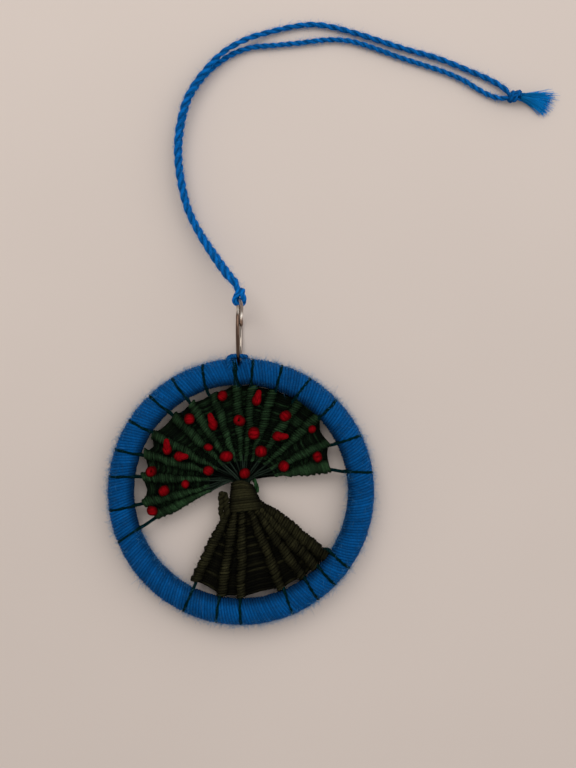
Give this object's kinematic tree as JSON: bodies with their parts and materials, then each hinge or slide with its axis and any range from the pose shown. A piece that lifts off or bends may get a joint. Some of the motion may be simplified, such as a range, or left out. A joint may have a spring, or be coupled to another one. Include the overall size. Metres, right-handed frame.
{
  "type": "dorset button ornament",
  "caption": "Flat yarn-cased ring with a woven tree on thread spokes, red berry knots, a wire hanging ring and a doubled blue cord with a knotted, frayed end.",
  "frame": {"origin": "on the surface that the button lies on, in the middle of the box round the button and its hanging ring, without the cord", "axes": "+Z out of the button's face, +Y toward the hanging ring, +X to the right seen from the face"},
  "size_m": [0.1065, 0.1444, 0.016],
  "materials": {
    "ring_core": "plain moulded craft ring, hidden by the casing",
    "casing_yarn": "soft blue wool yarn, wound close, with a fine halo",
    "spoke_thread": "smooth dark green cotton thread",
    "crown_yarn": "dark green yarn, back-stitched into ribs",
    "bright_yarn": "mid green yarn end",
    "trunk_yarn": "dark olive brown yarn, back-stitched and wrapped",
    "berry_thread": "red embroidery thread, wound into knots",
    "ring_wire": "bright round wire",
    "hanging_cord": "twisted blue cotton"
  },
  "bodies": {
    "button": {"core_ring": "ring_core", "rim_winding": "casing_yarn", "ring_stitch": "casing_yarn", "thread_crossing": "spoke_thread", "crown_weave": "crown_yarn", "crown_yarn_end": "bright_yarn", "trunk_weave": "trunk_yarn", "neck_winding": "trunk_yarn", "trunk_yarn_end": "trunk_yarn", "spoke_01": "spoke_thread", "spoke_02": "spoke_thread", "spoke_03": "spoke_thread", "spoke_04": "spoke_thread", "spoke_05": "spoke_thread", "spoke_06": "spoke_thread", "spoke_07": "spoke_thread", "spoke_08": "spoke_thread", "spoke_09": "spoke_thread", "spoke_10": "spoke_thread", "spoke_11": "spoke_thread", "spoke_12": "spoke_thread", "spoke_13": "spoke_thread", "spoke_14": "spoke_thread", "spoke_15": "spoke_thread", "spoke_16": "spoke_thread", "spoke_17": "spoke_thread", "spoke_18": "spoke_thread", "spoke_19": "spoke_thread", "spoke_20": "spoke_thread", "spoke_21": "spoke_thread", "spoke_22": "spoke_thread", "berry_knot_01": "berry_thread", "berry_knot_02": "berry_thread", "berry_knot_03": "berry_thread", "berry_knot_04": "berry_thread", "berry_knot_05": "berry_thread", "berry_knot_06": "berry_thread", "berry_knot_07": "berry_thread", "berry_knot_08": "berry_thread", "berry_knot_09": "berry_thread", "berry_knot_10": "berry_thread", "berry_knot_11": "berry_thread", "berry_knot_12": "berry_thread", "berry_knot_13": "berry_thread", "berry_knot_14": "berry_thread", "berry_knot_15": "berry_thread", "berry_knot_16": "berry_thread", "berry_knot_17": "berry_thread", "berry_knot_18": "berry_thread", "berry_knot_19": "berry_thread", "berry_knot_20": "berry_thread", "berry_knot_21": "berry_thread", "berry_knot_22": "berry_thread"},
    "hanger": {"hanging_ring": "ring_wire"},
    "cord": {"cord_hitch": "hanging_cord", "cord_strand_lower": "hanging_cord", "cord_strand_upper": "hanging_cord", "cord_end_knot": "hanging_cord", "cord_tassel": "hanging_cord"}
  },
  "joints": [
    {"name": "ring_swing", "type": "hinge", "parent": "button", "child": "hanger", "pos_m": [-0.00012, 0.02419, 0.00413], "axis": [1, 0, 0], "range_deg": [-50, 34]},
    {"name": "cord_swing", "type": "hinge", "parent": "hanger", "child": "cord", "pos_m": [-0.00012, 0.03833, 0.008], "axis": [0, 0, 1], "range_deg": [-100, 50]}
  ]
}
